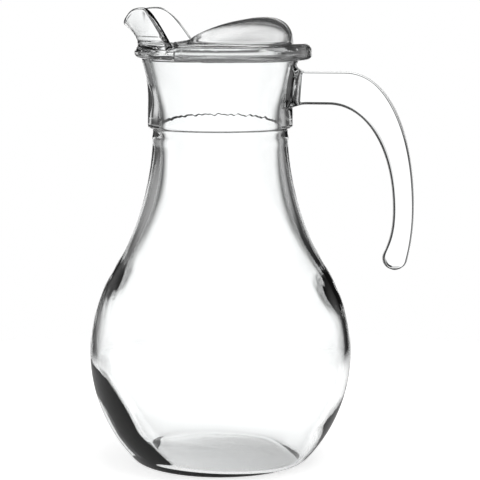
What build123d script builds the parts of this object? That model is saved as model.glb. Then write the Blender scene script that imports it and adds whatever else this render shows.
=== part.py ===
from build123d import *
import math
import os

# A blown glass pitcher with a pear-shaped body, a pulled pouring lip, a pressed glass handle that is
# fused to the neck and hangs free below, and a push-on lid moulded in translucent plastic.
# The pitcher's axis is Z, it stands on Z = 0, the lip points along -X and the handle along +X.
# Millimetres and degrees.

# A round takes at most this share of the wall or step that it is on, or more where one corner alone is rounded
round_share = 0.45
lone_round_share = 0.85
tolerance = 0.001

# Pitcher body, outside
belly_radius = 73.0
belly_height = 61.0
foot_radius = 47.6
heel_round = 5.0
foot_ring_width = 9.0
punt_rise = 0.8
crown_radius = 90.0
waist_radius = 37.4
waist_height = 187.0

# Pitcher body, walls
belly_wall = 3.3
waist_wall = 3.5
mouth_wall = 3.7
floor_height = 3.6
floor_crown = 1.0
floor_inset = 1.6
floor_round = 12.0

# Collar ring round the foot of the neck, and the mould ridge below it
collar_projection = 2.8
collar_step = 1.2
collar_length = 5.2
collar_round = 0.7
ridge_drop = 6.0
ridge_radius = 1.1
ridge_projection = 0.6

# Neck and rolled rim
neck_length = 33.0
neck_flare = 4.6
rim_overhang = 3.8
rim_bead = 6.2
mouth_round = 8.0

# Pouring lip, a wall that stands on the rim: angles are counted from the lip's middle
lip_half_angle = 62.0
lip_ear_angle = 27.0
lip_flare_angle = 35.0
lip_wall = 4.6
lip_ear_rise = 22.3
lip_tip_rise = 14.6
lip_overhang = 8.2
lip_root_fullness = 0.85
lip_notch_sharpness = 3.4
lip_flare_sharpness = 2.2
lip_root_rise = 0.2
lip_sections = 17

# Handle, an outline in the plane Y = 0 with rounded edges: drops are counted down from its top
handle_thickness = 14.0
handle_edge_round = 3.4
handle_standoff = 63.9
handle_rim_gap = 7.0
handle_root_depth = 18.0
handle_arm = 26.0
handle_arm_inset = 9.1
handle_leg_width = 11.4
handle_leg_drop = 75.7
handle_tip_drop = 103.2
handle_tip_width = 13.4
handle_tip_inset = 3.4
handle_tip_ease = 5.5
handle_leg_ease = 19.8
handle_fullness_across = 0.60
handle_fullness_down = 0.57
handle_weld_flare = 6.0
handle_weld_length = 7.0

# Lid, one moulding
lid_overhang = 3.2
lid_plate = 2.0
lid_skirt_drop = 0.9
lid_top_round = 4.2
lid_bottom_round = 2.4
lid_plug_depth = 6.0
lid_plug_wall = 1.9
lid_seal_rib = 0.25
lid_seal_ribs = 2
lid_front_wall = 1.8
lid_front_rise = 1.8
lid_rim_clearance = 0.35
lid_plug_clearance = 0.55
lid_lip_clearance = 0.7

# Dome that stands on the lid as its grip, hollow underneath
dome_half_width = 25.0
dome_height = 14.4
dome_wall = 4.2
dome_rear_overhang = 2.8
dome_front_gap = 0.5
dome_apex_share = 0.72
dome_widest_share = 0.62
dome_front_fullness = 1.5
dome_rear_fullness = 2.5
dome_width_front_fullness = 1.7
dome_width_rear_fullness = 2.2
dome_stations = (0.03, 0.12, 0.26, 0.44, 0.62, 0.78, 0.90, 0.965, 0.992)

# Radii and heights that follow from these
floor_radius = foot_radius - floor_inset
belly_inside = belly_radius - belly_wall
waist_inside = waist_radius - waist_wall
collar_radius = waist_radius + collar_projection
collar_top = waist_height + collar_length
neck_foot_radius = collar_radius - collar_step
neck_top_radius = neck_foot_radius + neck_flare
rim_foot = collar_top + neck_length
rim_height = rim_foot + rim_bead
rim_middle = rim_foot + rim_bead / 2
rim_radius = neck_top_radius + rim_overhang
mouth_radius = neck_top_radius - mouth_wall
lip_wall_radius = (rim_radius + mouth_radius) / 2
handle_top = rim_foot - handle_rim_gap
handle_reach = neck_top_radius + handle_standoff
lid_radius = rim_radius + lid_overhang
lid_top = rim_height + lid_plate
plug_outside = mouth_radius - lid_plug_clearance
plug_inside = plug_outside - lid_plug_wall
plug_foot = rim_height - lid_plug_depth
lip_root_inside = lip_wall_radius - lip_wall / 2
lid_front = lid_lip_clearance - lip_root_inside * math.cos(math.radians(lip_half_angle))


def turned(profile):
    """A flat profile, drawn as radius and height, turned round the axis into a solid."""
    return revolve(Plane.XZ * profile, Axis.Z)


def upper_wall(start_radius, crown, end_radius):
    """The two arcs from the belly's widest point up to the waist, upright at both ends."""
    centre = start_radius - crown
    across = end_radius - centre
    up = waist_height - belly_height
    shoulder = (across**2 + up**2 - crown**2) / (2 * (crown - across))
    along_r = (across + shoulder) / (crown + shoulder)
    along_z = up / (crown + shoulder)
    join = (centre + crown * along_r, belly_height + crown * along_z)
    return [
        TangentArc((start_radius, belly_height), join, tangent=(0, 1)),
        TangentArc(join, (end_radius, waist_height), tangent=(-along_z, along_r)),
    ]


def rim_edges():
    """The rolled rim, from the top of the neck's outside over to the mouth."""
    half = rim_bead / 2
    outer = rim_radius - half
    inner = mouth_radius + half
    return [
        Line((neck_top_radius, rim_foot), (outer, rim_foot)),
        ThreePointArc((outer, rim_foot), (rim_radius, rim_middle), (outer, rim_height)),
        Line((outer, rim_height), (inner, rim_height)),
        TangentArc((inner, rim_height), (mouth_radius, rim_middle), tangent=(-1, 0)),
    ]


def corner_round(face, radius, points):
    """The face with the corners at these points rounded."""
    corners = [face.vertices().sort_by_distance(point)[0] for point in points]
    return fillet(corners, radius)


def body_profile():
    """Half section of the blown body, from the foot up the outside and down the inside."""
    punt_radius = foot_radius - foot_ring_width
    outside = [
        TangentArc((0, punt_rise), (punt_radius, 0), tangent=(1, 0)),
        Line((punt_radius, 0), (foot_radius, 0)),
        TangentArc((belly_radius, belly_height), (foot_radius, 0), tangent=(0, -1)),
        *upper_wall(belly_radius, crown_radius, waist_radius),
        Line((waist_radius, waist_height), (collar_radius, waist_height)),
        Line((collar_radius, waist_height), (collar_radius, collar_top)),
        Line((collar_radius, collar_top), (neck_foot_radius, collar_top)),
        TangentArc((neck_foot_radius, collar_top), (neck_top_radius, rim_foot), tangent=(0, 1)),
    ]
    inside = [
        Line((mouth_radius, rim_middle), (mouth_radius, rim_foot)),
        TangentArc((waist_inside, waist_height), (mouth_radius, rim_foot), tangent=(0, 1)),
        *upper_wall(belly_inside, crown_radius - belly_wall, waist_inside),
        TangentArc((belly_inside, belly_height), (floor_radius, floor_height), tangent=(0, -1)),
        TangentArc((0, floor_height + floor_crown), (floor_radius, floor_height), tangent=(1, 0)),
        Line((0, floor_height + floor_crown), (0, punt_rise)),
    ]
    face = make_face([*outside, *rim_edges(), *inside])
    face = corner_round(face, heel_round, [(foot_radius, 0)])
    face = corner_round(face, floor_round, [(floor_radius, floor_height)])
    face = corner_round(face, mouth_round, [(mouth_radius, rim_foot)])
    face = corner_round(face, collar_round, [(waist_radius, waist_height), (collar_radius, waist_height)])
    step_round = min(collar_round, round_share * (collar_radius - neck_foot_radius))
    return corner_round(face, step_round, [(collar_radius, collar_top), (neck_foot_radius, collar_top)])


def lip_rise(angle):
    """Height of the lip's edge above the rim bead's middle: two ears with a pouring notch between them."""
    from_root = (lip_half_angle - abs(angle)) / (lip_half_angle - lip_ear_angle)
    ear = math.sin(math.radians(90 * min(max(from_root, 0.0), 1.0))) ** lip_root_fullness
    notch_reach = min(abs(angle) / lip_ear_angle, 1.0)
    notch = math.cos(math.radians(90 * notch_reach)) ** lip_notch_sharpness
    return lip_ear_rise * ear - (lip_ear_rise - lip_tip_rise) * notch


def lip_reach(angle):
    """Radius of the lip's edge: it stands upright at the ears and flares out to the tip."""
    share = min(abs(angle) / lip_flare_angle, 1.0)
    flare = math.cos(math.radians(90 * share)) ** lip_flare_sharpness
    return lip_wall_radius + lip_overhang * flare


def lip_section(angle):
    """The lip's wall cut by the upright half plane at this angle: a strip with a round top."""
    outward = Vector(-1, 0, 0).rotate(Axis.Z, angle)
    plane = Plane(origin=(0, 0, 0), x_dir=outward, z_dir=outward.cross(Vector(0, 0, 1)))
    half = lip_wall / 2
    root = Vector(lip_wall_radius, rim_middle)
    edge = Vector(lip_reach(angle), root.Y + max(lip_rise(angle), lip_root_rise))
    along = (edge - root).normalized()
    side = Vector(along.Y, -along.X)
    outer_root, outer_edge = root + side * half, edge + side * half
    inner_root, inner_edge = root - side * half, edge - side * half
    strip = make_face(
        [
            Line(outer_root, outer_edge),
            ThreePointArc(outer_edge, edge + along * half, inner_edge),
            Line(inner_edge, inner_root),
            Line(inner_root, outer_root),
        ]
    )
    return plane * strip


def pouring_lip():
    """The lip's wall, from one end of the mouth's front round to the other."""
    step = 2 * lip_half_angle / (lip_sections - 1)
    angles = [-lip_half_angle + step * n for n in range(lip_sections)]
    return loft([lip_section(angle) for angle in angles])


def pitcher_body():
    """The blown body with its collar, mould ridge, rolled rim and pulled lip."""
    blown = turned(body_profile())
    ridge_height = waist_height - ridge_drop
    ridge_ring = waist_radius + ridge_projection - ridge_radius
    ridge = Pos(0, 0, ridge_height) * Torus(ridge_ring, ridge_radius)
    return blown + ridge + pouring_lip()


def bezier_turn(start, end):
    """A quarter turn that leaves start along X and reaches end along Z."""
    across, down = end[0] - start[0], start[1] - end[1]
    return Bezier(
        start,
        (start[0] + handle_fullness_across * across, start[1]),
        (end[0], end[1] + handle_fullness_down * down),
        end,
    )


def handle_outline():
    """The handle seen from the side, with its root run into the neck."""
    root = waist_inside
    weld = neck_top_radius + handle_weld_length
    under = handle_top - handle_root_depth
    leg_height = handle_top - handle_leg_drop
    tip_height = handle_top - handle_tip_drop
    leg_inside = handle_reach - handle_leg_width
    tip_outside = handle_reach - handle_tip_inset
    tip_inside = tip_outside - handle_tip_width
    top_weld = handle_top + handle_weld_flare
    under_weld = under - handle_weld_flare
    top_start = (neck_top_radius + handle_arm, handle_top)
    under_start = (neck_top_radius + handle_arm - handle_arm_inset, under)
    leg_out, leg_in = (handle_reach, leg_height), (leg_inside, leg_height)
    tip_out, tip_in = (tip_outside, tip_height), (tip_inside, tip_height)
    leg = TangentArc(leg_out, tip_out, tangent=(0, -1))
    tip = TangentArc(tip_out, tip_in, tangent=leg % 1)
    tip_end = tip % 1
    inner_leg = Bezier(
        tip_in,
        (tip_in[0] + tip_end.X * handle_tip_ease, tip_in[1] + tip_end.Y * handle_tip_ease),
        (leg_inside, leg_height - handle_leg_ease),
        leg_in,
    )
    edges = [
        TangentArc((weld, handle_top), (root, top_weld), tangent=(-1, 0)),
        Line((weld, handle_top), top_start),
        bezier_turn(top_start, leg_out),
        leg,
        tip,
        inner_leg,
        bezier_turn(under_start, leg_in),
        Line(under_start, (weld, under)),
        TangentArc((weld, under), (root, under_weld), tangent=(-1, 0)),
        Line((root, under_weld), (root, top_weld)),
    ]
    return Plane.XZ * make_face(edges)


def handle():
    """The pressed handle, its edges rounded and its root shaped to the outside of the neck."""
    blank = extrude(handle_outline(), handle_thickness / 2, both=True)
    flat_sides = blank.faces().filter_by(Axis.Y)
    rims = [edge for edge in flat_sides.edges() if edge.center().X > waist_inside + tolerance]
    limit = min(handle_edge_round, round_share * handle_thickness, round_share * handle_leg_width)
    return fillet(rims, limit) - neck_outside()


def neck_outside():
    """The pitcher's neck as a solid with no hollow, to shape what is fused to it."""
    neck = TangentArc((neck_foot_radius, collar_top), (neck_top_radius, rim_foot), tangent=(0, 1))
    edges = [
        Line((0, collar_top), (neck_foot_radius, collar_top)),
        neck,
        Line((neck_top_radius, rim_foot), (0, rim_foot)),
        Line((0, rim_foot), (0, collar_top)),
    ]
    return turned(make_face(edges))


def superellipse(share, peak, before, after):
    """Height from 0 to 1 along a rounded hump with its peak at one share of its length."""
    if share <= peak:
        return (1 - ((peak - share) / peak) ** before) ** (1 / before)
    return (1 - ((share - peak) / (1 - peak)) ** after) ** (1 / after)


def dome_solid(inset):
    """The dome's shape, drawn in by this inset on every side, its base sunk into the lid's plate."""
    rear = plug_inside + dome_rear_overhang - inset
    front = lid_front + dome_front_gap + inset
    base = rim_height + lid_plate / 2 - inset
    stations = []
    for share in dome_stations:
        x = front + share * (rear - front)
        high = dome_height * superellipse(share, dome_apex_share, dome_front_fullness, dome_rear_fullness)
        wide = superellipse(share, dome_widest_share, dome_width_front_fullness, dome_width_rear_fullness)
        half_width = (dome_half_width - inset) * wide
        top = lid_top + high * (1 - inset / dome_height) - base
        plane = Plane(origin=(x, 0, base), x_dir=(0, 1, 0), z_dir=(1, 0, 0))
        arch = EllipticalCenterArc((0, 0), half_width, top, start_angle=0, arc_size=180)
        stations.append(plane * make_face([arch, Line((-half_width, 0), (half_width, 0))]))
    return loft(stations)


def lid_profile():
    """Half section of the lid: top plate, outer skirt over the rolled rim, and plug inside the mouth."""
    skirt_foot = rim_foot - lid_skirt_drop
    skirt_inside = rim_radius + lid_rim_clearance
    outline = Polyline(
        (0, lid_top),
        (lid_radius, lid_top),
        (lid_radius, skirt_foot),
        (skirt_inside, skirt_foot),
        (skirt_inside, rim_height),
        (plug_outside, rim_height),
        (plug_outside, plug_foot),
        (plug_inside, plug_foot),
        (plug_inside, rim_height),
        (0, rim_height),
        close=True,
    )
    face = make_face(outline)
    face = corner_round(face, lid_top_round, [(lid_radius, lid_top)])
    foot_round = min(lid_bottom_round, lone_round_share * (lid_radius - skirt_inside))
    return corner_round(face, foot_round, [(lid_radius, skirt_foot)])


def front_wall():
    """The upright wall along the lid's front: it closes the plug and stands a little above the plate."""
    below = Pos(0, 0, plug_foot) * Cylinder(
        plug_outside, lid_top - plug_foot, align=(Align.CENTER, Align.CENTER, Align.MIN)
    )
    above = Pos(0, 0, lid_top) * Cylinder(
        lid_radius - lid_top_round, lid_front_rise, align=(Align.CENTER, Align.CENTER, Align.MIN)
    )
    slab = Pos(lid_front, 0, plug_foot) * Box(
        lid_front_wall,
        2 * lid_radius,
        lid_plug_depth + lid_plate + lid_front_rise,
        align=(Align.MIN, Align.CENTER, Align.MIN),
    )
    return slab & (below + above)


def seal_ribs():
    """Thin ribs round the plug that grip the mouth."""
    pitch = lid_plug_depth / (lid_seal_ribs + 1)
    ribs = []
    for n in range(lid_seal_ribs):
        height = rim_height - pitch * (n + 1)
        ribs.append(Pos(0, 0, height) * Torus(plug_outside - lid_seal_rib, 2 * lid_seal_rib))
    return ribs


def lid():
    """The lid: rim, plug, front wall and hollow dome in one moulding, cut straight behind the lip."""
    disc = turned(lid_profile())
    for rib in seal_ribs():
        disc += rib
    keep = Pos(lid_front, 0, 0) * Box(
        2 * lid_radius,
        4 * lid_radius,
        4 * rim_height,
        align=(Align.MIN, Align.CENTER, Align.CENTER),
    )
    return (disc & keep) + front_wall() + dome_solid(0.0) - dome_solid(dome_wall)


def main():
    os.makedirs("parts", exist_ok=True)
    export_step(pitcher_body(), "parts/pitcher_body.step")
    export_step(handle(), "parts/handle.step")
    export_step(lid(), "parts/lid.step")


main()
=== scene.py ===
"""Looks of a lidded glass pitcher: blown body with a pulled lip, fused handle, translucent push-on lid."""

import math

import bpy
import numpy as np
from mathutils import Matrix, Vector


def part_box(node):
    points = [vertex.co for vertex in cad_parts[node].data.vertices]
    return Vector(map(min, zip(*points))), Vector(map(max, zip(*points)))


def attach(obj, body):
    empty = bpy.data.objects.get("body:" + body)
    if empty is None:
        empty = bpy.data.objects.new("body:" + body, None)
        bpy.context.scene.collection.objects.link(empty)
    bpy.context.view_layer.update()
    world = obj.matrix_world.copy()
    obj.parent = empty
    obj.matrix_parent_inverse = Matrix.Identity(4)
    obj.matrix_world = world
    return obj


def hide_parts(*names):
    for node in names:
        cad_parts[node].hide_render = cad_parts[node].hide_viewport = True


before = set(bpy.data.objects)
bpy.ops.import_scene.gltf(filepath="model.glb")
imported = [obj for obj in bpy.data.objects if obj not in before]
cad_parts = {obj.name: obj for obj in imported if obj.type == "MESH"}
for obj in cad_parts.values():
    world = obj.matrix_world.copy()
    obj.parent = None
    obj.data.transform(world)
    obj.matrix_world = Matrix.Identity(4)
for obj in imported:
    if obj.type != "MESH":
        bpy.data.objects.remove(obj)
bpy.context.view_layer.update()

# Sizes are in millimetres and angles in degrees, as in the part's drawing. Meshes are made in metres.
MM = 0.001
TINY = 1e-6

# Sizes that the frame gives
BELLY_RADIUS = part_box("pitcher_body")[1][0] / MM
HANDLE_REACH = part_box("handle")[1][0] / MM
HANDLE_THICKNESS = 2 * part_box("handle")[1][1] / MM
LID_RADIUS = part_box("lid")[1][0] / MM

# Pitcher body
BELLY_HEIGHT = 61.0
FOOT_RADIUS = 47.6
FOOT_RING_WIDTH = 9.0
PUNT_RISE = 0.8
CROWN_RADIUS = 90.0
WAIST_RADIUS = 37.4
WAIST_HEIGHT = 187.0
INSIDE_WAIST_HEIGHT = 175.0
BELLY_WALL = 3.3
WAIST_WALL = 3.5
MOUTH_WALL = 3.7
FLOOR_HEIGHT = 3.6
FLOOR_CROWN = 1.0
FLOOR_INSET = 1.6
RIDGE_HEIGHT = 181.0
RIDGE_HALF = 3.5
RIDGE_PROJECTION = 0.45
NECK_FOOT_RADIUS = 39.0
NECK_TOP_RADIUS = 43.6
RIM_FOOT = 225.2
RIM_BEAD = 6.2
RIM_RADIUS = 47.4
MOUTH_RADIUS = NECK_TOP_RADIUS - MOUTH_WALL
RIM_MIDDLE = RIM_FOOT + RIM_BEAD / 2

# Collar, drawn out into the neck above it and ragged along its lower edge at the back
COLLAR_RADIUS = 40.2
COLLAR_TOP = 192.2
COLLAR_SLOPE = 20.0
COLLAR_RIPPLE = 0.2
COLLAR_RIPPLE_REACH = 3.0
COLLAR_RIPPLE_WAVES = (23, 37, 58)

# Corner rounds, as the length cut from each side of a corner
FOOT_RING_CUT = 1.5
HEEL_CUT = 3.0
FLOOR_CUT = 3.0
COLLAR_CUT = 1.2
COLLAR_BACK_CUT = 0.12
BEAD_CUT = 0.3
MOUTH_CUT = 1.6

# Pouring lip
LIP_HALF_ANGLE = 62.0
LIP_EAR_ANGLE = 27.0
LIP_FLARE_ANGLE = 35.0
LIP_TIP_WALL = 2.2
LIP_ROOT_WALL = 5.6
LIP_EAR_RISE = 23.2
LIP_TIP_RISE = 15.6
LIP_OVERHANG = 9.0
LIP_ROOT_FULLNESS = 0.85
LIP_NOTCH_SHARPNESS = 3.4
LIP_FLARE_SHARPNESS = 2.2
LIP_LEAN = 8.5
LIP_LEAN_SHARE = 0.6
LIP_WELD = 3.2
LIP_EDGE_FULLNESS = 1.7
LIP_RIPPLE = 0.1
LIP_RIPPLE_LENGTH = 2.6
LIP_RIPPLE_REACH = 9.0

# Uneven glass inside, as blowing leaves it: thick low down on the lip's side, with a swell at the
# shoulder's two seams
THICK_SIDE = 188.0
HEEL_SWELL = 8.0
HEEL_SWELL_SPREAD = 33.0
HEEL_SWELL_TOP = 58.0
HEEL_SWELL_FULL = 26.0
THIN_SIDE_SWELL = 1.5
THIN_SIDE_TOP = 40.0
THIN_SIDE_FULL = 6.0
WAIST_LEAN = 0.35
WAIST_LEAN_HEIGHT = 158.0
WAIST_LEAN_LENGTH = 24.0
FLOOR_LEAN = 2.4
FLOOR_LEAN_REACH = 22.0
SEAM_SWELL = 1.9
SEAM_SWELL_SPREAD = 26.0
SEAM_SWELL_HEIGHT = 99.5
SEAM_SWELL_LENGTH = 8.0
SEAM_SWELL_LEAN = 4.0
SEAM_RIPPLE = 0.04
SEAM_RIPPLE_ANGLE = 7.0
SEAM_RIPPLE_TWIST = 0.35
SEAM_RIPPLE_LENGTH = 15.0

# Handle
HANDLE_TOP = 218.2
HANDLE_ROOT_DEPTH = 18.0
HANDLE_ARM = 26.0
HANDLE_ARM_INSET = 9.1
HANDLE_LEG_WIDTH = 11.4
HANDLE_LEG_DROP = 75.7
HANDLE_TIP_DROP = 103.2
HANDLE_TIP_WIDTH = 13.4
HANDLE_TIP_INSET = 3.4
HANDLE_TIP_EASE = 5.5
HANDLE_LEG_EASE = 19.8
HANDLE_FULL_ACROSS = 0.60
HANDLE_FULL_DOWN = 0.57
HANDLE_WELD_FLARE = 3.2
HANDLE_WELD_LENGTH = 5.0
HANDLE_WELD_DEPTH = 0.4
HANDLE_EDGE_ROUND = 2.4
HANDLE_EDGE_SHARE = 0.96
HANDLE_ROOT_SPREAD = 5.0
HANDLE_ROOT_LENGTH = 5.0
HANDLE_LEG = HANDLE_TOP - HANDLE_LEG_DROP
HANDLE_TIP = HANDLE_TOP - HANDLE_TIP_DROP
HANDLE_TIP_LEAN = 2 * math.atan2(HANDLE_TIP_INSET, HANDLE_LEG - HANDLE_TIP)

# Lid. A corner's round draws a point in by its share of the way out, raised to the power of the hold.
LID_FRONT = -18.7
LID_CORNER_ROUND = 7.0
LID_CORNER_HOLD = 5
LID_WELD = 0.01
LID_MESH = 0.45
LID_EASE = 0.5
LID_EASE_STEPS = 16

# Mesh density, as columns round the body, rings along the handle and points along each stretch of a line
COLUMNS = 288
ROUND_POINTS = 7
PUNT_POINTS = 24
FOOT_POINTS = 8
HEEL_POINTS = 50
WALL_POINTS = 60
COLLAR_UNDER_POINTS = 6
COLLAR_SIDE_POINTS = 10
NECK_POINTS = 60
INSIDE_NECK_POINTS = 40
BEAD_UNDER_POINTS = 4
BEAD_POINTS = 12
MOUTH_POINTS = 5
LIP_SIDE_POINTS = 40
LIP_EDGE_POINTS = 28
RIM_POINTS = 120
HANDLE_RINGS = 260
HANDLE_SEAT_RINGS = 13
HANDLE_TIP_RINGS = 14
HANDLE_CORNER_POINTS = 10
HANDLE_FLAT_POINTS = 5
HANDLE_WELD_POINTS = 12
HANDLE_ARM_POINTS = 10
HANDLE_TURN_POINTS = 60
HANDLE_LEG_POINTS = 30
HANDLE_LEG_INSIDE_POINTS = 40
HANDLE_SEAT_POINTS = 40
FLOOR_SIDES = 96

# Surfaces. Scales are in waves per metre, colours run from the first to the second.
GLASS_CLEAR = (0.985, 0.99, 0.99)
GLASS_TINT = (0.975, 0.985, 0.985)
GLASS_IOR = 1.51
GLASS_WAVE_SCALE = 55.0
GLASS_WAVE_DETAIL = 1.0
GLASS_WAVE_DISTORTION = 0.4
GLASS_WAVE_DEPTH = 0.06
LID_CLEAR = (1.0, 1.0, 1.0)
LID_TINT = (0.985, 0.99, 0.99)
LID_IOR = 1.44
LID_ROUGHNESS = 0.05
LID_TRANSMISSION = 0.97
LID_GRAIN_SCALE = 900.0
LID_GRAIN_DETAIL = 2.0
LID_GRAIN_DEPTH = 0.0012

# Camera
CAMERA_LENS = 141.75
CAMERA_SENSOR = 36.0
CAMERA_DISTANCE = 1054.6
CAMERA_AZIMUTH = 8.0
CAMERA_TILT = 7.45
CAMERA_HEIGHT = 124.0
CAMERA_ASIDE = 10.9
CAMERA_CLIP = 10000.0

# Studio. A panel is its left and right bearing from +Y, its low and high elevation, its soft edge and
# its level.
WHITE = (1, 1, 1, 1)
ROOM_LEVEL = 0.02
AMBIENT_LEVEL = 0.55
PANELS = [
    (-25, 7, -24, 9, 5, 1.2),  # behind the pitcher
    (30, 80, -40, 8, 9, 0.5),  # beside it, on the right
    (-80, -36, -10, 16, 8, 0.35),  # beside it, on the left
    (-99, -81, -12, 6, 4, 1.0),  # strip at the far left
    (-54, -36, -34, -16, 4, 0.9),  # low on the left
    (124, 146, -26, -4, 5, 1.1),  # strip on the camera's side, to the right
    (100, 200, -60, 60, 20, 0.35),  # wall on the camera's side, to the right
    (-200, -120, -60, 60, 20, 0.35),  # wall on the camera's side, to the left
    (-62, -28, 26, 36, 4, 1.0),  # strip high on the left
]
FLOOR_SIZE = 420.0
FLOOR_FADE = 210.0
FLOOR_DROP = 0.1
FLOOR_COLOUR = (0.9, 0.9, 0.9, 1)
FLOOR_ROUGHNESS = 0.9
FLOOR_GLOW = 0.6
FLOOR_GLOW_IN_GLASS = 0.72
FLOOR_MIRROR_SHADE = 0.75
FLOOR_MIRROR_LEVEL = 0.012
LAMP_SIZE = 900.0
LAMP_POWER = 4.0
LAMP_PLACE = (250.0, -200.0, 1100.0)
LAMP_TARGET = (0.0, 0.0, 100.0)

# A ray's depth counts its bounces, so a ray that has bounced is over this and one that hasn't is under it
HALF_BOUNCE = 0.5


def smooth_step(share):
    """An eased ramp from 0 to 1."""
    share = np.clip(share, 0, 1)
    return share * share * (3 - 2 * share)


def bell(distance, reach):
    """A bell-shaped falloff: 1 at no distance, and about a third at the reach."""
    return np.exp(-((distance / reach) ** 2))


def tangent_arc(start, end, heading, count):
    """Points on the arc from start to end that leaves start along this heading."""
    start, end = np.array(start, float), np.array(end, float)
    chord = end - start
    turn = 2 * (math.atan2(chord[1], chord[0]) - heading)
    turn = (turn + 2 * math.pi) % (4 * math.pi) - 2 * math.pi
    if abs(turn) < TINY:
        return start + np.linspace(0, 1, count)[:, None] * chord
    radius = math.hypot(*chord) / (2 * math.sin(turn / 2))
    angles = heading + np.linspace(0, turn, count)
    offsets = np.stack([np.sin(angles) - math.sin(heading), math.cos(heading) - np.cos(angles)], axis=1)
    return start + radius * offsets


def straight(start, end, count):
    """Points on a straight line."""
    return tangent_arc(start, end, math.atan2(end[1] - start[1], end[0] - start[0]), count)


def bend_curve(start, corner, end, count):
    """Points on a quadratic curve that starts and ends along the sides of a corner."""
    t = np.linspace(0, 1, count)[:, None]
    return start * (1 - t) ** 2 + 2 * corner * t * (1 - t) + end * t**2


def bezier(points, count):
    """Points on a cubic curve with these four control points."""
    a, b, c, d = (np.array(p, float) for p in points)
    t = np.linspace(0, 1, count)[:, None]
    return a * (1 - t) ** 3 + 3 * b * t * (1 - t) ** 2 + 3 * c * t**2 * (1 - t) + d * t**3


def lengths_along(points):
    """Distance of each point from the first, along the line."""
    steps = np.linalg.norm(np.diff(points, axis=0), axis=1)
    return np.concatenate([[0.0], np.cumsum(steps)])


def at_lengths(points, wanted):
    """Points at these distances along a line."""
    along = lengths_along(points)
    return np.stack([np.interp(wanted, along, points[:, axis]) for axis in range(points.shape[1])], axis=1)


def resampled(points, count):
    """The same line with evenly spaced points."""
    return at_lengths(points, np.linspace(0, lengths_along(points)[-1], count))


def chained(parts, cuts):
    """One line from parts that meet end to end, each corner cut back and bridged by a round."""
    line = parts[0]
    for part, cut in zip(parts[1:], cuts):
        if cut == 0:
            line = np.concatenate([line, part[1:]])
            continue
        along, beyond = lengths_along(line), lengths_along(part)
        before = at_lengths(line, [along[-1] - cut])[0]
        after = at_lengths(part, [cut])[0]
        bridge = bend_curve(before, part[0], after, ROUND_POINTS)
        line = np.concatenate([line[along < along[-1] - cut - TINY], bridge, part[beyond > cut + TINY]])
    return line


def ring_grid(name, rows, material):
    """A smooth closed mesh from rings of points, with each end ring drawn to a middle point."""
    rings, sides, _ = rows.shape
    index = np.arange(rings * sides).reshape(rings, sides)
    turned = np.roll(index, -1, axis=1)
    quads = np.stack([index[:-1], turned[:-1], turned[1:], index[1:]], axis=-1).reshape(-1, 4)
    points = np.concatenate([rows.reshape(-1, 3), [rows[0].mean(axis=0), rows[-1].mean(axis=0)]])
    first, last = len(points) - 2, len(points) - 1
    faces = quads.tolist()
    faces += [[first, turned[0, n], index[0, n]] for n in range(sides)]
    faces += [[last, index[-1, n], turned[-1, n]] for n in range(sides)]
    mesh = bpy.data.meshes.new(name)
    mesh.from_pydata((points * MM).tolist(), [], faces)
    mesh.shade_smooth()
    mesh.materials.append(material)
    piece = bpy.data.objects.new(name, mesh)
    bpy.context.scene.collection.objects.link(piece)
    return piece


def upper_wall(start_radius, crown, end_radius, end_height):
    """The crown and shoulder arcs from the belly's widest point up to the waist."""
    centre = start_radius - crown
    across = end_radius - centre
    up = end_height - BELLY_HEIGHT
    shoulder = (across**2 + up**2 - crown**2) / (2 * (crown - across))
    along_r = (across + shoulder) / (crown + shoulder)
    along_z = up / (crown + shoulder)
    join = (centre + crown * along_r, BELLY_HEIGHT + crown * along_z)
    lower = tangent_arc((start_radius, BELLY_HEIGHT), join, math.pi / 2, WALL_POINTS)
    upper = tangent_arc(join, (end_radius, end_height), math.atan2(along_r, -along_z), WALL_POINTS)
    return np.concatenate([lower, upper[1:]])


def ridged_wall():
    """The outside from the belly up to the waist, with the mould ridge."""
    wall = upper_wall(BELLY_RADIUS, CROWN_RADIUS, WAIST_RADIUS, WAIST_HEIGHT)
    wall[:, 0] += RIDGE_PROJECTION * smooth_step(1 - np.abs(wall[:, 1] - RIDGE_HEIGHT) / RIDGE_HALF)
    return wall


def neck_line(count):
    """The neck's outside as the part has it, from the collar up to the rim."""
    return tangent_arc((NECK_FOOT_RADIUS, COLLAR_TOP), (NECK_TOP_RADIUS, RIM_FOOT), math.pi / 2, count)


def sloped_neck():
    """The neck's outside with the collar drawn out into it."""
    neck = neck_line(NECK_POINTS)
    above = (neck[:, 1] - COLLAR_TOP) / COLLAR_SLOPE
    neck[:, 0] += (COLLAR_RADIUS - NECK_FOOT_RADIUS) * (1 - smooth_step(above))
    return neck


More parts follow.
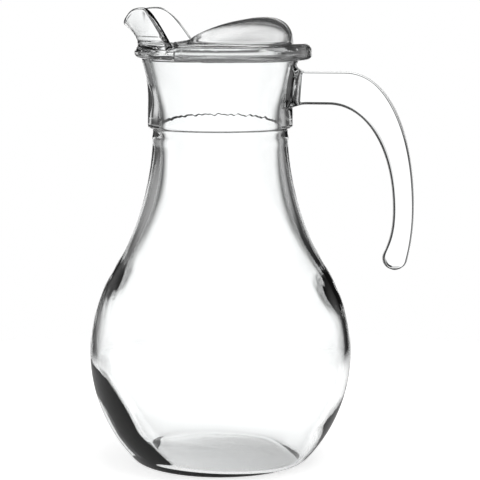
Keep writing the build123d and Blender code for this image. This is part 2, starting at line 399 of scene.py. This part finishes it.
def outside_profile():
    """Radius and height along the outside, from the middle of the underside up to the rim bead."""
    punt_radius = FOOT_RADIUS - FOOT_RING_WIDTH
    half_bead = RIM_BEAD / 2
    bead_start = RIM_RADIUS - half_bead
    parts = [
        tangent_arc((0, PUNT_RISE), (punt_radius, 0), 0, PUNT_POINTS),
        straight((punt_radius, 0), (FOOT_RADIUS, 0), FOOT_POINTS),
        tangent_arc((BELLY_RADIUS, BELLY_HEIGHT), (FOOT_RADIUS, 0), -math.pi / 2, HEEL_POINTS)[::-1],
        ridged_wall(),
        straight((WAIST_RADIUS, WAIST_HEIGHT), (COLLAR_RADIUS, WAIST_HEIGHT), COLLAR_UNDER_POINTS),
        straight((COLLAR_RADIUS, WAIST_HEIGHT), (COLLAR_RADIUS, COLLAR_TOP), COLLAR_SIDE_POINTS),
        sloped_neck(),
        straight((NECK_TOP_RADIUS, RIM_FOOT), (bead_start, RIM_FOOT), BEAD_UNDER_POINTS),
        tangent_arc((bead_start, RIM_FOOT), (RIM_RADIUS, RIM_MIDDLE), 0, BEAD_POINTS),
    ]
    return chained(parts, [FOOT_RING_CUT, HEEL_CUT, 0, COLLAR_CUT, COLLAR_CUT, 0, BEAD_CUT, 0])


def inside_profile():
    """Radius and height along the inside, from the mouth down to the middle of the floor."""
    belly = BELLY_RADIUS - BELLY_WALL
    waist = WAIST_RADIUS - WAIST_WALL
    edge = (FOOT_RADIUS - FLOOR_INSET, FLOOR_HEIGHT)
    mouth = (MOUTH_RADIUS, RIM_FOOT)
    parts = [
        straight((MOUTH_RADIUS, RIM_MIDDLE), mouth, MOUTH_POINTS),
        tangent_arc((waist, INSIDE_WAIST_HEIGHT), mouth, math.pi / 2, INSIDE_NECK_POINTS)[::-1],
        upper_wall(belly, CROWN_RADIUS - BELLY_WALL, waist, INSIDE_WAIST_HEIGHT)[::-1],
        tangent_arc((belly, BELLY_HEIGHT), edge, -math.pi / 2, HEEL_POINTS),
        tangent_arc((0, FLOOR_HEIGHT + FLOOR_CROWN), edge, 0, PUNT_POINTS)[::-1],
    ]
    return chained(parts, [MOUTH_CUT, 0, 0, FLOOR_CUT])


def lip_rise(angle):
    """Height of the lip's edge above the rim bead's middle: two ears with a pouring notch between them."""
    from_root = (LIP_HALF_ANGLE - abs(angle)) / (LIP_HALF_ANGLE - LIP_EAR_ANGLE)
    ear = math.sin(math.radians(90 * min(max(from_root, 0.0), 1.0))) ** LIP_ROOT_FULLNESS
    notch_reach = min(abs(angle) / LIP_EAR_ANGLE, 1.0)
    notch = math.cos(math.radians(90 * notch_reach)) ** LIP_NOTCH_SHARPNESS
    return LIP_EAR_RISE * ear - (LIP_EAR_RISE - LIP_TIP_RISE) * notch


def lip_flare(angle):
    """How far the lip's edge stands out from the middle of the rim bead."""
    share = min(abs(angle) / LIP_FLARE_ANGLE, 1.0)
    return LIP_OVERHANG * math.cos(math.radians(90 * share)) ** LIP_FLARE_SHARPNESS


def lip_spine(angle):
    """The middle line of the lip's glass at this angle, from the rim bead up, and its headings."""
    foot = np.array([(RIM_RADIUS + MOUTH_RADIUS) / 2, RIM_MIDDLE])
    rise = lip_rise(angle)
    edge = foot + [lip_flare(angle) * min(rise / LIP_TIP_RISE, 1.0), rise]
    bend = foot + [0, min(LIP_LEAN, LIP_LEAN_SHARE * rise)]
    t = np.linspace(0, 1, LIP_SIDE_POINTS)[:, None]
    heading = 2 * (bend - foot) * (1 - t) + 2 * (edge - bend) * t + [0, TINY]
    heading /= np.linalg.norm(heading, axis=1)[:, None]
    return bend_curve(foot, bend, edge, LIP_SIDE_POINTS), heading


def rim_contour(angle):
    """The rim and lip cut at this angle from the lip's middle, from the bead's outside to the mouth."""
    spine, heading = lip_spine(angle)
    side = np.stack([heading[:, 1], -heading[:, 0]], axis=1)
    along = lengths_along(spine)[:, None]
    half_bead = (RIM_RADIUS - MOUTH_RADIUS) / 2
    to_root = (abs(angle) / LIP_HALF_ANGLE) ** 2
    half_wall = (LIP_TIP_WALL + (LIP_ROOT_WALL - LIP_TIP_WALL) * to_root) / 2
    weld = bell(along, LIP_WELD)
    ripple = np.sin(2 * math.pi * along / LIP_RIPPLE_LENGTH) * bell(along, LIP_RIPPLE_REACH)
    half = half_wall + (half_bead - half_wall) * weld + LIP_RIPPLE * ripple
    crown = half[-1] + (RIM_BEAD / 2 - half_bead) * weld[-1]
    turn = np.linspace(0, math.pi, LIP_EDGE_POINTS + 2)[1:-1, None]
    over = np.sign(np.cos(turn)) * np.abs(np.cos(turn)) ** (2 / LIP_EDGE_FULLNESS)
    up = np.sin(turn) ** (2 / LIP_EDGE_FULLNESS)
    cap = spine[-1] + side[-1] * half[-1] * over + heading[-1] * crown * up
    return resampled(np.concatenate([spine + side * half, cap, (spine - side * half)[::-1]]), RIM_POINTS)


def heel_swell(height, from_seam, lean):
    """Extra glass low down, most of it on the thick side."""
    if lean > 0:
        swell = HEEL_SWELL * smooth_step((HEEL_SWELL_TOP - height) / (HEEL_SWELL_TOP - HEEL_SWELL_FULL))
    else:
        swell = THIN_SIDE_SWELL * smooth_step((THIN_SIDE_TOP - height) / (THIN_SIDE_TOP - THIN_SIDE_FULL))
    return swell * bell(from_seam, HEEL_SWELL_SPREAD)


def seam_swell(height, from_seam, lean, degrees):
    """Extra glass at the shoulder's two seams, with fine slanting ripples."""
    swell = SEAM_SWELL * bell(height - SEAM_SWELL_HEIGHT - SEAM_SWELL_LEAN * lean, SEAM_SWELL_LENGTH)
    wave = np.sin(2 * math.pi * (degrees + SEAM_RIPPLE_TWIST * height) / SEAM_RIPPLE_ANGLE)
    ripple = SEAM_RIPPLE * wave * bell(height - SEAM_SWELL_HEIGHT, SEAM_RIPPLE_LENGTH)
    return bell(from_seam, SEAM_SWELL_SPREAD) * (swell + ripple)


def uneven_inside(inside, turn):
    """The inside profile at this angle, moved into the hollow where the glass is thicker."""
    radius, height = inside[:, 0], inside[:, 1]
    degrees = math.degrees(turn)
    from_side = (degrees - THICK_SIDE + 180) % 360 - 180
    from_seam = min(abs(from_side), 180 - abs(from_side))
    lean = math.cos(math.radians(from_side))
    waist = WAIST_LEAN * lean * bell(height - WAIST_LEAN_HEIGHT, WAIST_LEAN_LENGTH)
    swell = heel_swell(height, from_seam, lean) + seam_swell(height, from_seam, lean, degrees) + waist
    from_middle = np.minimum(radius / (FOOT_RADIUS - FLOOR_INSET), 1)
    near_floor = 1 - smooth_step((height - FLOOR_HEIGHT) / FLOOR_LEAN_REACH)
    rise = FLOOR_LEAN * lean * from_middle * near_floor
    return np.stack([radius - swell * from_middle, height + rise], axis=1)


def uneven_outside(outside, turn):
    """The outside profile at this angle. At the back, the collar's lower edge is sharp and ragged."""
    back = max(math.sin(turn), 0)
    outside = outside.copy()
    for corner in ((WAIST_RADIUS, WAIST_HEIGHT), (COLLAR_RADIUS, WAIST_HEIGHT)):
        away = outside - corner
        in_round = np.linalg.norm(away, axis=1) < COLLAR_CUT + TINY
        outside[in_round] -= away[in_round] * back * (1 - COLLAR_BACK_CUT / COLLAR_CUT)
    wave = back * sum(math.sin(count * turn) for count in COLLAR_RIPPLE_WAVES)
    outside[:, 1] += COLLAR_RIPPLE * wave * bell(outside[:, 1] - WAIST_HEIGHT, COLLAR_RIPPLE_REACH)
    return outside


def pitcher_body(material):
    """The blown body as one closed skin of glass, outside and inside."""
    outside, inside = outside_profile()[1:], inside_profile()[:-1]
    columns = []
    for n in range(COLUMNS):
        turn = 2 * math.pi * n / COLUMNS
        from_lip = math.degrees(math.atan2(-math.sin(turn), -math.cos(turn)))
        rim = rim_contour(from_lip)[1:-1]
        profile = np.concatenate([uneven_outside(outside, turn), rim, uneven_inside(inside, turn)])
        radius, height = profile[:, 0], profile[:, 1]
        columns.append(np.stack([radius * math.cos(turn), radius * math.sin(turn), height], axis=1))
    return ring_grid("glass_body", np.stack(columns, axis=1), material)


def handle_turn(start_r, start_z, end_r):
    """The quarter turn from the handle's arm into its leg."""
    points = [
        (start_r, start_z),
        (start_r + HANDLE_FULL_ACROSS * (end_r - start_r), start_z),
        (end_r, HANDLE_LEG + HANDLE_FULL_DOWN * (start_z - HANDLE_LEG)),
        (end_r, HANDLE_LEG),
    ]
    return bezier(points, HANDLE_TURN_POINTS)


def handle_arm(start_z, flare, end_r):
    """One edge of the handle's arm, from the flare at its weld to where it begins to turn."""
    weld = (NECK_TOP_RADIUS + HANDLE_WELD_LENGTH, start_z)
    return [
        tangent_arc(weld, (NECK_FOOT_RADIUS, start_z + flare), math.pi, HANDLE_WELD_POINTS)[::-1],
        straight(weld, (end_r, start_z), HANDLE_ARM_POINTS),
    ]


def handle_edges():
    """The handle's outer and inner edges seen from the side, from the root to the tip's round."""
    under = HANDLE_TOP - HANDLE_ROOT_DEPTH
    top_end = NECK_TOP_RADIUS + HANDLE_ARM
    under_end = top_end - HANDLE_ARM_INSET
    leg_inside = HANDLE_REACH - HANDLE_LEG_WIDTH
    tip_outside = HANDLE_REACH - HANDLE_TIP_INSET
    tip_inside = tip_outside - HANDLE_TIP_WIDTH
    leg_start, tip_end = (HANDLE_REACH, HANDLE_LEG), (tip_outside, HANDLE_TIP)
    outer = handle_arm(HANDLE_TOP, HANDLE_WELD_FLARE, top_end) + [
        handle_turn(top_end, HANDLE_TOP, HANDLE_REACH),
        tangent_arc(leg_start, tip_end, -math.pi / 2, HANDLE_LEG_POINTS),
    ]
    ease_r = HANDLE_TIP_EASE * math.sin(HANDLE_TIP_LEAN)
    ease_z = HANDLE_TIP_EASE * math.cos(HANDLE_TIP_LEAN)
    leg_points = [
        (leg_inside, HANDLE_LEG),
        (leg_inside, HANDLE_LEG - HANDLE_LEG_EASE),
        (tip_inside - ease_r, HANDLE_TIP + ease_z),
        (tip_inside, HANDLE_TIP),
    ]
    inner = handle_arm(under, -HANDLE_WELD_FLARE, under_end) + [
        handle_turn(under_end, under, leg_inside),
        bezier(leg_points, HANDLE_LEG_INSIDE_POINTS),
    ]
    return [resampled(chained(edge, [0, 0, 0]), HANDLE_RINGS) for edge in (outer, inner)]


def neck_radius(height):
    """Outside radius of the neck at this height."""
    neck = neck_line(HANDLE_SEAT_POINTS)
    return np.interp(height, neck[:, 1], neck[:, 0])


def rounded_section(half_width, half_thick):
    """Across and through offsets round a bar's section with rounded edges."""
    edge = min(HANDLE_EDGE_ROUND, HANDLE_EDGE_SHARE * half_width)
    corners = []
    for across, through, start in [(1, 1, 0), (-1, 1, 90), (-1, -1, 180), (1, -1, 270)]:
        turn = np.radians(np.linspace(start, start + 90, HANDLE_CORNER_POINTS))
        middle = np.array([across * (half_width - edge), through * (half_thick - edge)])
        corners.append(middle + edge * np.stack([np.cos(turn), np.sin(turn)], axis=1))
    sides = []
    for n, corner in enumerate(corners):
        following = corners[(n + 1) % len(corners)]
        sides += [corner, straight(corner[-1], following[0], HANDLE_FLAT_POINTS + 2)[1:-1]]
    return np.concatenate(sides)[::-1]


def placed_section(section, middle, across):
    """A section's points, set across the handle's middle line."""
    plan = middle + section[:, :1] * across
    return np.stack([plan[:, 0], section[:, 1], plan[:, 1]], axis=1)


def tip_rings(middle, across, half_width):
    """The sections that close the handle's tip with a round."""
    ahead = np.array([across[1], -across[0]])
    radius = half_width / math.cos(HANDLE_TIP_LEAN)
    rings = []
    for turn in np.linspace(HANDLE_TIP_LEAN, math.pi / 2, HANDLE_TIP_RINGS + 1)[1:-1]:
        left = radius * (1 - math.sin(turn))
        sunk = max(0.0, 1 - left / HANDLE_EDGE_ROUND)
        thinned = HANDLE_EDGE_ROUND * (1 - math.sqrt(1 - sunk**2))
        section = rounded_section(radius * math.cos(turn), HANDLE_THICKNESS / 2 - thinned)
        onward = ahead * radius * (math.sin(turn) - math.sin(HANDLE_TIP_LEAN))
        rings.append(placed_section(section, middle + onward, across))
    return rings


def seat_on_neck(rows):
    """Moves the handle's first sections so that it starts just inside the neck's round surface."""
    seat = np.sqrt(neck_radius(rows[0, :, 2]) ** 2 - rows[0, :, 1] ** 2) - HANDLE_WELD_DEPTH
    fade = np.linspace(1, 0, HANDLE_SEAT_RINGS)[:, None]
    rows[:HANDLE_SEAT_RINGS, :, 0] += fade * (seat - rows[0, :, 0])


def handle(material):
    """The pressed handle: rounded flat sections along its bend, spread at the weld and round at the tip."""
    outer, inner = handle_edges()
    middle, half = (outer + inner) / 2, (outer - inner) / 2
    half_width = np.linalg.norm(half, axis=1)
    across = half / half_width[:, None]
    from_neck = middle[:, 0] - neck_radius(middle[:, 1])
    spread = HANDLE_ROOT_SPREAD * (1 - smooth_step(from_neck / HANDLE_ROOT_LENGTH))
    rings = []
    for n in range(HANDLE_RINGS):
        section = rounded_section(half_width[n], HANDLE_THICKNESS / 2 + spread[n])
        rings.append(placed_section(section, middle[n], across[n]))
    rows = np.stack(rings + tip_rings(middle[-1], across[-1], half_width[-1]))
    seat_on_neck(rows)
    return ring_grid("glass_handle", rows, material)


def rounded_corners(mesh):
    """Rounds the two upright corners where the lid's straight front meets its round edge."""
    points = np.empty(3 * len(mesh.vertices))
    mesh.vertices.foreach_get("co", points)
    points = points.reshape(-1, 3) / MM
    from_axis = LID_RADIUS - LID_CORNER_ROUND
    middle_x = LID_FRONT + LID_CORNER_ROUND
    middle = np.array([middle_x, math.sqrt(from_axis**2 - middle_x**2)])
    away = np.stack([points[:, 0], np.abs(points[:, 1])], axis=1) - middle
    distance = np.maximum(np.linalg.norm(away, axis=1), TINY)
    heading = away / distance[:, None]
    outward = heading @ middle
    to_front = LID_CORNER_ROUND / np.maximum(-heading[:, 0], TINY)
    to_edge = np.sqrt(outward**2 + LID_RADIUS**2 - from_axis**2) - outward
    past_edge = middle[0] * heading[:, 1] - middle[1] * heading[:, 0] > 0
    in_corner = past_edge & (heading[:, 1] > 0)
    reach = np.minimum(to_front, to_edge)
    pull = (1 - LID_CORNER_ROUND / reach) * (distance / reach) ** LID_CORNER_HOLD
    plan = middle + away * np.where(in_corner, 1 - pull, 1)[:, None]
    points[:, 0] = plan[:, 0]
    points[:, 1] = np.copysign(plan[:, 1], points[:, 1])
    mesh.vertices.foreach_set("co", (points * MM).ravel())


def softened_lid(material):
    """The moulded lid with its edges and inner corners eased, as a soft plastic has them."""
    piece = bpy.data.objects.new("lid_shell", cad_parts["lid"].data.copy())
    bpy.context.scene.collection.objects.link(piece)
    weld = piece.modifiers.new("weld", "WELD")
    weld.merge_threshold = LID_WELD * MM
    remesh = piece.modifiers.new("remesh", "REMESH")
    remesh.mode = "VOXEL"
    remesh.voxel_size = LID_MESH * MM
    remesh.use_smooth_shade = True
    ease = piece.modifiers.new("ease", "SMOOTH")
    ease.factor = LID_EASE
    ease.iterations = LID_EASE_STEPS
    done = piece.evaluated_get(bpy.context.evaluated_depsgraph_get())
    mesh = bpy.data.meshes.new_from_object(done)
    piece.modifiers.clear()
    piece.data = mesh
    rounded_corners(mesh)
    mesh.materials.clear()
    mesh.materials.append(material)
    return piece


def feed(tree, socket, value):
    """Sets a socket to a number, or links it to another node's result."""
    if isinstance(value, (int, float)):
        socket.default_value = value
    else:
        tree.links.new(value, socket)


def math_node(tree, kind, *values):
    """A Math node's result. Each value is a number or another node's result."""
    node = tree.nodes.new("ShaderNodeMath")
    node.operation = kind
    for socket, value in zip(node.inputs, values):
        feed(tree, socket, value)
    return node.outputs[0]


def mixed(tree, share, first, second):
    """The first value where share is 0 and the second where it is 1."""
    node = tree.nodes.new("ShaderNodeMix")
    for name, value in (("Factor", share), ("A", first), ("B", second)):
        feed(tree, node.inputs[name], value)
    return node.outputs["Result"]


def ramp(tree, value, start, stop):
    """An eased ramp from 0 at start to 1 at stop."""
    node = tree.nodes.new("ShaderNodeMapRange")
    node.interpolation_type = "SMOOTHSTEP"
    for name, given in (("Value", value), ("From Min", start), ("From Max", stop)):
        feed(tree, node.inputs[name], given)
    return node.outputs["Result"]


def window(tree, value, low, high, soft):
    """1 between low and high, easing to 0 over a soft edge."""
    opens = ramp(tree, value, low - soft, low + soft)
    closes = ramp(tree, value, high + soft, high - soft)
    return math_node(tree, "MULTIPLY", opens, closes)


def principled(name):
    """A new material and its Principled shader."""
    material = bpy.data.materials.new(name)
    material.use_nodes = True
    return material, material.node_tree.nodes["Principled BSDF"]


def noise(tree, scale, detail, distortion=0.0):
    """Noise fixed to the piece, from 0 to 1."""
    place = tree.nodes.new("ShaderNodeTexCoord")
    node = tree.nodes.new("ShaderNodeTexNoise")
    node.inputs["Scale"].default_value = scale
    node.inputs["Detail"].default_value = detail
    node.inputs["Distortion"].default_value = distortion
    tree.links.new(place.outputs["Object"], node.inputs["Vector"])
    return node.outputs["Fac"]


def tinted(tree, share, first, second):
    """A colour between the first and the second."""
    node = tree.nodes.new("ShaderNodeMix")
    node.data_type = "RGBA"
    tree.links.new(share, node.inputs["Factor"])
    node.inputs["A"].default_value = (*first, 1)
    node.inputs["B"].default_value = (*second, 1)
    return node.outputs["Result"]


def bumped(tree, height, depth):
    """A surface raised and sunk by this depth."""
    node = tree.nodes.new("ShaderNodeBump")
    node.inputs["Distance"].default_value = depth * MM
    tree.links.new(height, node.inputs["Height"])
    return node.outputs["Normal"]


def glass_material(name):
    """Clear soda-lime glass, a little wavy from the mould."""
    material, shader = principled(name)
    tree = material.node_tree
    waves = noise(tree, GLASS_WAVE_SCALE, GLASS_WAVE_DETAIL, GLASS_WAVE_DISTORTION)
    tree.links.new(tinted(tree, waves, GLASS_CLEAR, GLASS_TINT), shader.inputs["Base Color"])
    tree.links.new(bumped(tree, waves, GLASS_WAVE_DEPTH), shader.inputs["Normal"])
    shader.inputs["Roughness"].default_value = 0.0
    shader.inputs["IOR"].default_value = GLASS_IOR
    shader.inputs["Transmission Weight"].default_value = 1.0
    return material


def lid_material():
    """Translucent satin plastic with a fine moulded grain."""
    material, shader = principled("lid_plastic")
    tree = material.node_tree
    grain = noise(tree, LID_GRAIN_SCALE, LID_GRAIN_DETAIL)
    tree.links.new(tinted(tree, grain, LID_CLEAR, LID_TINT), shader.inputs["Base Color"])
    tree.links.new(bumped(tree, grain, LID_GRAIN_DEPTH), shader.inputs["Normal"])
    shader.inputs["Roughness"].default_value = LID_ROUGHNESS
    shader.inputs["IOR"].default_value = LID_IOR
    shader.inputs["Transmission Weight"].default_value = LID_TRANSMISSION
    return material


def panel_light(tree):
    """Level of the dark room and its bright panels, whichever is brighter in each direction."""
    place = tree.nodes.new("ShaderNodeTexCoord")
    parts = tree.nodes.new("ShaderNodeSeparateXYZ")
    tree.links.new(place.outputs["Generated"], parts.inputs[0])
    bearing = math_node(tree, "DEGREES", math_node(tree, "ARCTAN2", parts.outputs["X"], parts.outputs["Y"]))
    lift = math_node(tree, "DEGREES", math_node(tree, "ARCSINE", parts.outputs["Z"]))
    brightest = ROOM_LEVEL
    for left, right, low, high, soft, level in PANELS:
        across = window(tree, bearing, left, right, soft)
        upright = window(tree, lift, low, high, soft)
        panel = math_node(tree, "MULTIPLY", math_node(tree, "MULTIPLY", across, upright), level)
        brightest = math_node(tree, "MAXIMUM", brightest, panel)
    return brightest


def studio_world():
    """White to the camera, soft light on matt surfaces, a dark room with bright panels for the glass."""
    world = bpy.data.worlds.new("studio")
    bpy.context.scene.world = world
    world.use_nodes = True
    tree = world.node_tree
    path = tree.nodes.new("ShaderNodeLightPath")
    from_matt = math_node(tree, "GREATER_THAN", path.outputs["Diffuse Depth"], HALF_BOUNCE)
    light = mixed(tree, from_matt, panel_light(tree), AMBIENT_LEVEL)
    strength = mixed(tree, path.outputs["Is Camera Ray"], light, 1.0)
    background = tree.nodes["Background"]
    background.inputs["Color"].default_value = WHITE
    tree.links.new(strength, background.inputs["Strength"])


def faded_edge(tree):
    """1 over the middle of the floor, easing to 0 at its edge."""
    place = tree.nodes.new("ShaderNodeTexCoord")
    from_middle = tree.nodes.new("ShaderNodeVectorMath")
    from_middle.operation = "LENGTH"
    tree.links.new(place.outputs["Object"], from_middle.inputs[0])
    return ramp(tree, from_middle.outputs["Value"], FLOOR_SIZE * MM, FLOOR_FADE * MM)


def floor_material():
    """Pale and matt, faded out towards the edge, and dim where the outside of the glass mirrors it."""
    material, shader = principled("pale_floor")
    tree = material.node_tree
    shader.inputs["Base Color"].default_value = FLOOR_COLOUR
    shader.inputs["Roughness"].default_value = FLOOR_ROUGHNESS
    shader.inputs["Specular IOR Level"].default_value = 0.0
    shader.inputs["Emission Color"].default_value = WHITE
    path = tree.nodes.new("ShaderNodeLightPath")
    glass = math_node(tree, "MAXIMUM", path.outputs["Is Glossy Ray"], path.outputs["Is Transmission Ray"])
    glow = math_node(tree, "MULTIPLY", path.outputs["Is Camera Ray"], FLOOR_GLOW)
    glow = math_node(tree, "MULTIPLY_ADD", glass, FLOOR_GLOW_IN_GLASS, glow)
    tree.links.new(glow, shader.inputs["Emission Strength"])
    tree.links.new(faded_edge(tree), shader.inputs["Alpha"])
    # Painted dark reflection: where the outside of the glass mirrors the floor, the floor is mostly drawn
    # as a dim glow instead of its lit colour.
    outside = math_node(tree, "LESS_THAN", path.outputs["Transmission Depth"], HALF_BOUNCE)
    shade = math_node(tree, "MULTIPLY", math_node(tree, "MULTIPLY", outside, FLOOR_MIRROR_SHADE), glass)
    dim = tree.nodes.new("ShaderNodeEmission")
    dim.inputs["Color"].default_value = WHITE
    dim.inputs["Strength"].default_value = FLOOR_MIRROR_LEVEL
    mix = tree.nodes.new("ShaderNodeMixShader")
    tree.links.new(shade, mix.inputs["Fac"])
    tree.links.new(shader.outputs["BSDF"], mix.inputs[1])
    tree.links.new(dim.outputs["Emission"], mix.inputs[2])
    tree.links.new(mix.outputs["Shader"], tree.nodes["Material Output"].inputs["Surface"])
    return material


def floor():
    """A plain round floor."""
    mesh = bpy.data.meshes.new("floor")
    turns = np.linspace(0, 2 * math.pi, FLOOR_SIDES, endpoint=False)
    edge = FLOOR_SIZE * MM
    drop = -FLOOR_DROP * MM
    points = [(edge * math.cos(turn), edge * math.sin(turn), drop) for turn in turns]
    mesh.from_pydata(points, [], [list(range(FLOOR_SIDES))])
    mesh.materials.append(floor_material())
    piece = bpy.data.objects.new("floor", mesh)
    bpy.context.scene.collection.objects.link(piece)


def lamp():
    """One large soft lamp overhead."""
    data = bpy.data.lights.new("overhead", "AREA")
    data.shape = "DISK"
    data.size = LAMP_SIZE * MM
    data.energy = LAMP_POWER
    piece = bpy.data.objects.new("overhead", data)
    bpy.context.scene.collection.objects.link(piece)
    piece.location = Vector(LAMP_PLACE) * MM
    heading = Vector(LAMP_TARGET) - Vector(LAMP_PLACE)
    piece.rotation_euler = heading.to_track_quat("-Z", "Y").to_euler()
    piece.visible_glossy = False
    piece.visible_transmission = False


def camera():
    """A long lens, slightly above the pitcher, turned a little towards the handle side."""
    data = bpy.data.cameras.new("camera")
    data.lens = CAMERA_LENS
    data.sensor_width = CAMERA_SENSOR
    data.clip_end = CAMERA_CLIP * MM
    piece = bpy.data.objects.new("camera", data)
    bpy.context.scene.collection.objects.link(piece)
    azimuth, tilt = math.radians(CAMERA_AZIMUTH), math.radians(CAMERA_TILT)
    right = Vector((math.cos(azimuth), math.sin(azimuth), 0))
    level = Vector((-math.sin(azimuth), math.cos(azimuth), 0))
    forward = level * math.cos(tilt) - Vector((0, 0, math.sin(tilt)))
    target = Vector((0, 0, CAMERA_HEIGHT * MM)) + right * CAMERA_ASIDE * MM
    piece.location = target - forward * CAMERA_DISTANCE * MM
    piece.rotation_euler = forward.to_track_quat("-Z", "Y").to_euler()
    bpy.context.scene.camera = piece


def dress():
    """Puts every visible piece in place on its body."""
    body = pitcher_body(glass_material("blown_glass"))
    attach(body, "pitcher")
    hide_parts("pitcher_body")
    grip = handle(glass_material("pressed_glass"))
    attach(grip, "pitcher")
    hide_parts("handle")
    cover = softened_lid(lid_material())
    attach(cover, "lid")
    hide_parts("lid")


dress()
floor()
lamp()
studio_world()
camera()
bpy.context.scene.view_settings.view_transform = "Standard"
